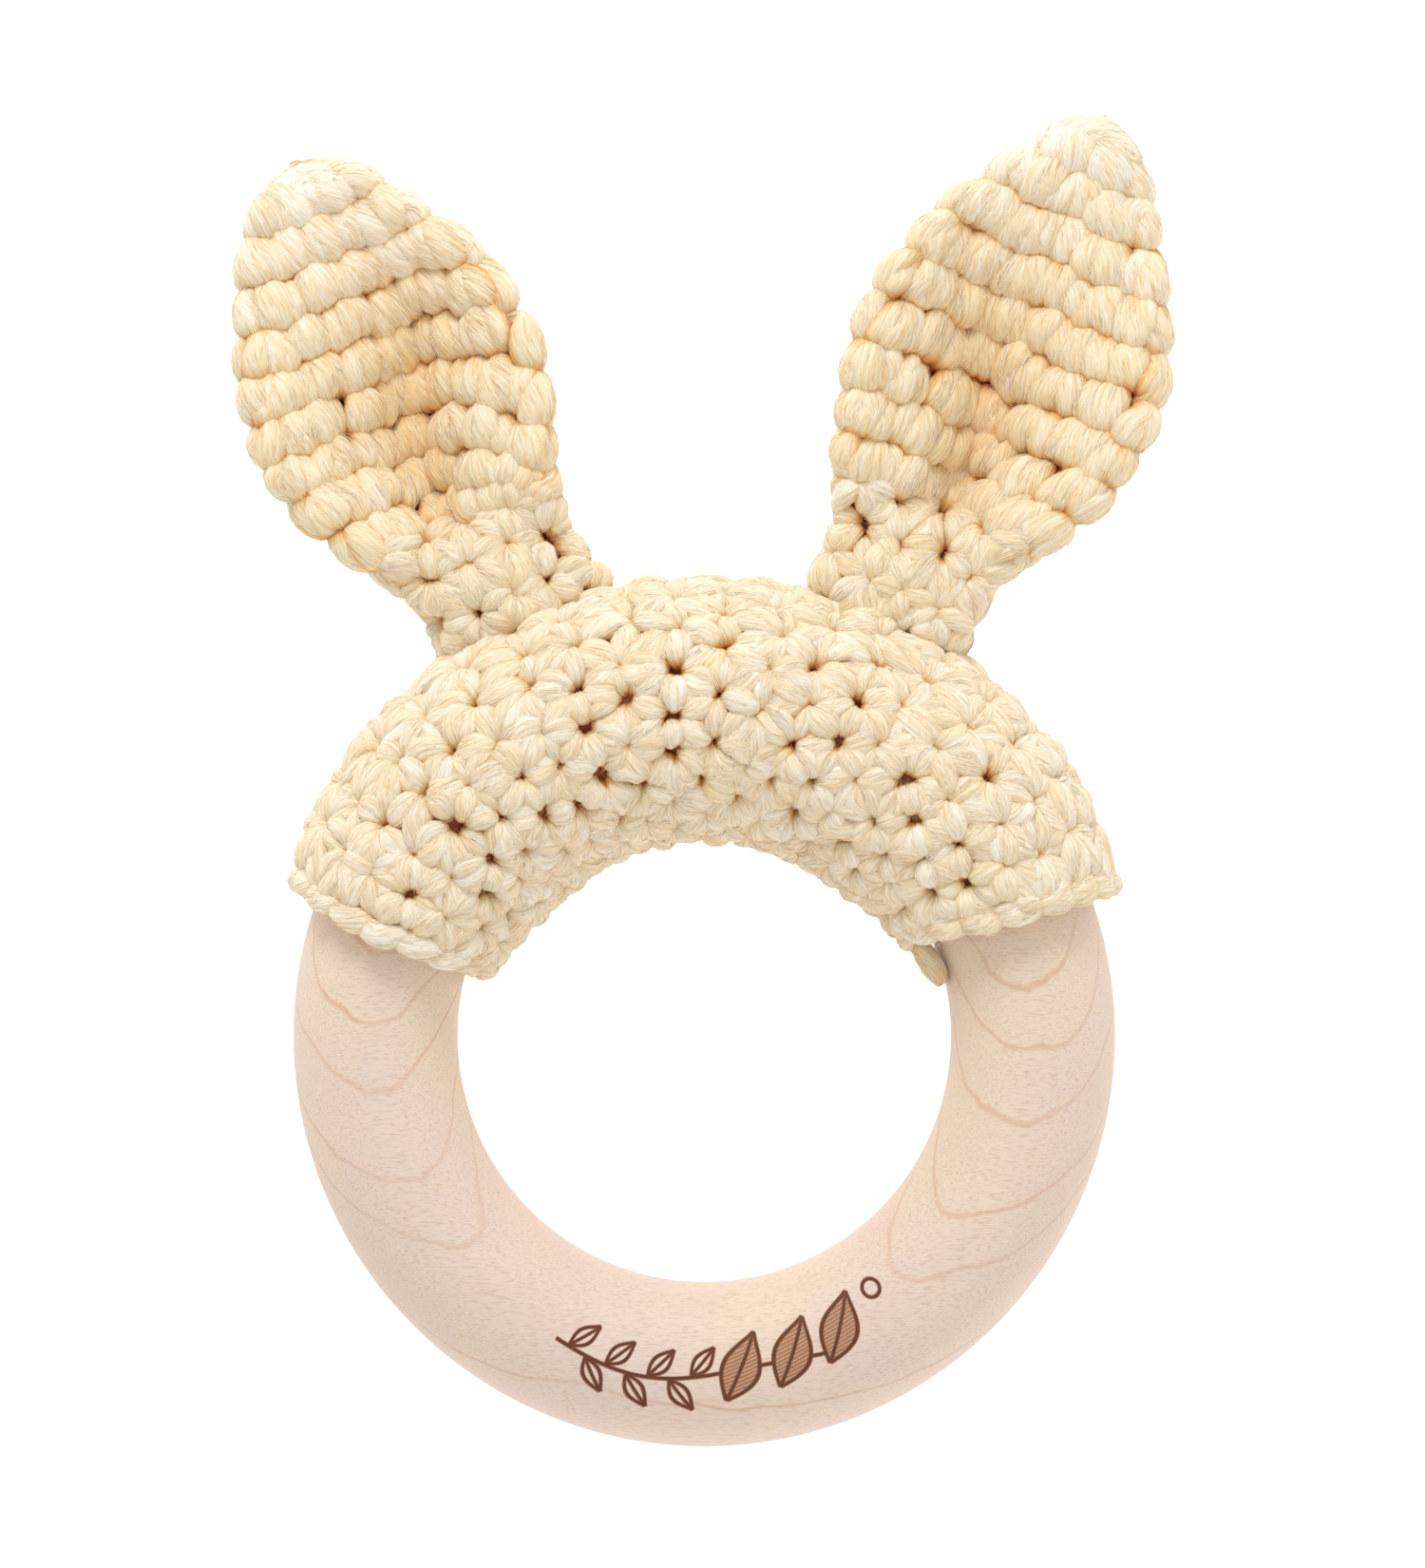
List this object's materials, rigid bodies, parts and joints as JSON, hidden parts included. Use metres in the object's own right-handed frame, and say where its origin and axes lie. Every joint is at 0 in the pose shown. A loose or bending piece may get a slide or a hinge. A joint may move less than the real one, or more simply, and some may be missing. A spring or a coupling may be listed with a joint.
{
  "type": "teething ring",
  "caption": "Turned wooden teething ring with a crochet cover sewn round its upper half and soft crochet bunny ears that bend at their sewn roots.",
  "frame": {"origin": "centre of the wooden ring, in its middle plane", "axes": "the ring lies flat: +Z along the axis of its hole towards the front, +Y from the centre towards the ears, +X to the right seen from the front"},
  "size_m": [0.0805, 0.1128, 0.0214],
  "materials": {
    "maple": "smooth sanded, unvarnished",
    "cream_yarn": "soft matte cotton crochet"
  },
  "bodies": {
    "ring": {"wooden_ring": "maple"},
    "cover": {"crochet_cover": "cream_yarn", "cover_seam": "cream_yarn", "seam_tail": "cream_yarn", "left_ear_stitching": "cream_yarn", "right_ear_stitching": "cream_yarn"},
    "left_ear": {"left_ear": "cream_yarn"},
    "right_ear": {"right_ear": "cream_yarn"}
  },
  "joints": [
    {"name": "cover_turn", "type": "hinge", "parent": "ring", "child": "cover", "pos_m": [0, 0, 0], "axis": [0, 0, 1], "continuous": true},
    {"name": "left_ear_bend", "type": "hinge", "parent": "cover", "child": "left_ear", "pos_m": [-0.0158, 0.03794, 0], "axis": [0.9232, 0.3843, 0], "range_deg": [-90, 90], "stiffness_Nm_per_rad": 0.01},
    {"name": "right_ear_bend", "type": "hinge", "parent": "cover", "child": "right_ear", "pos_m": [0.01645, 0.03766, 0], "axis": [0.9164, -0.4003, 0], "range_deg": [-90, 90], "stiffness_Nm_per_rad": 0.01}
  ]
}
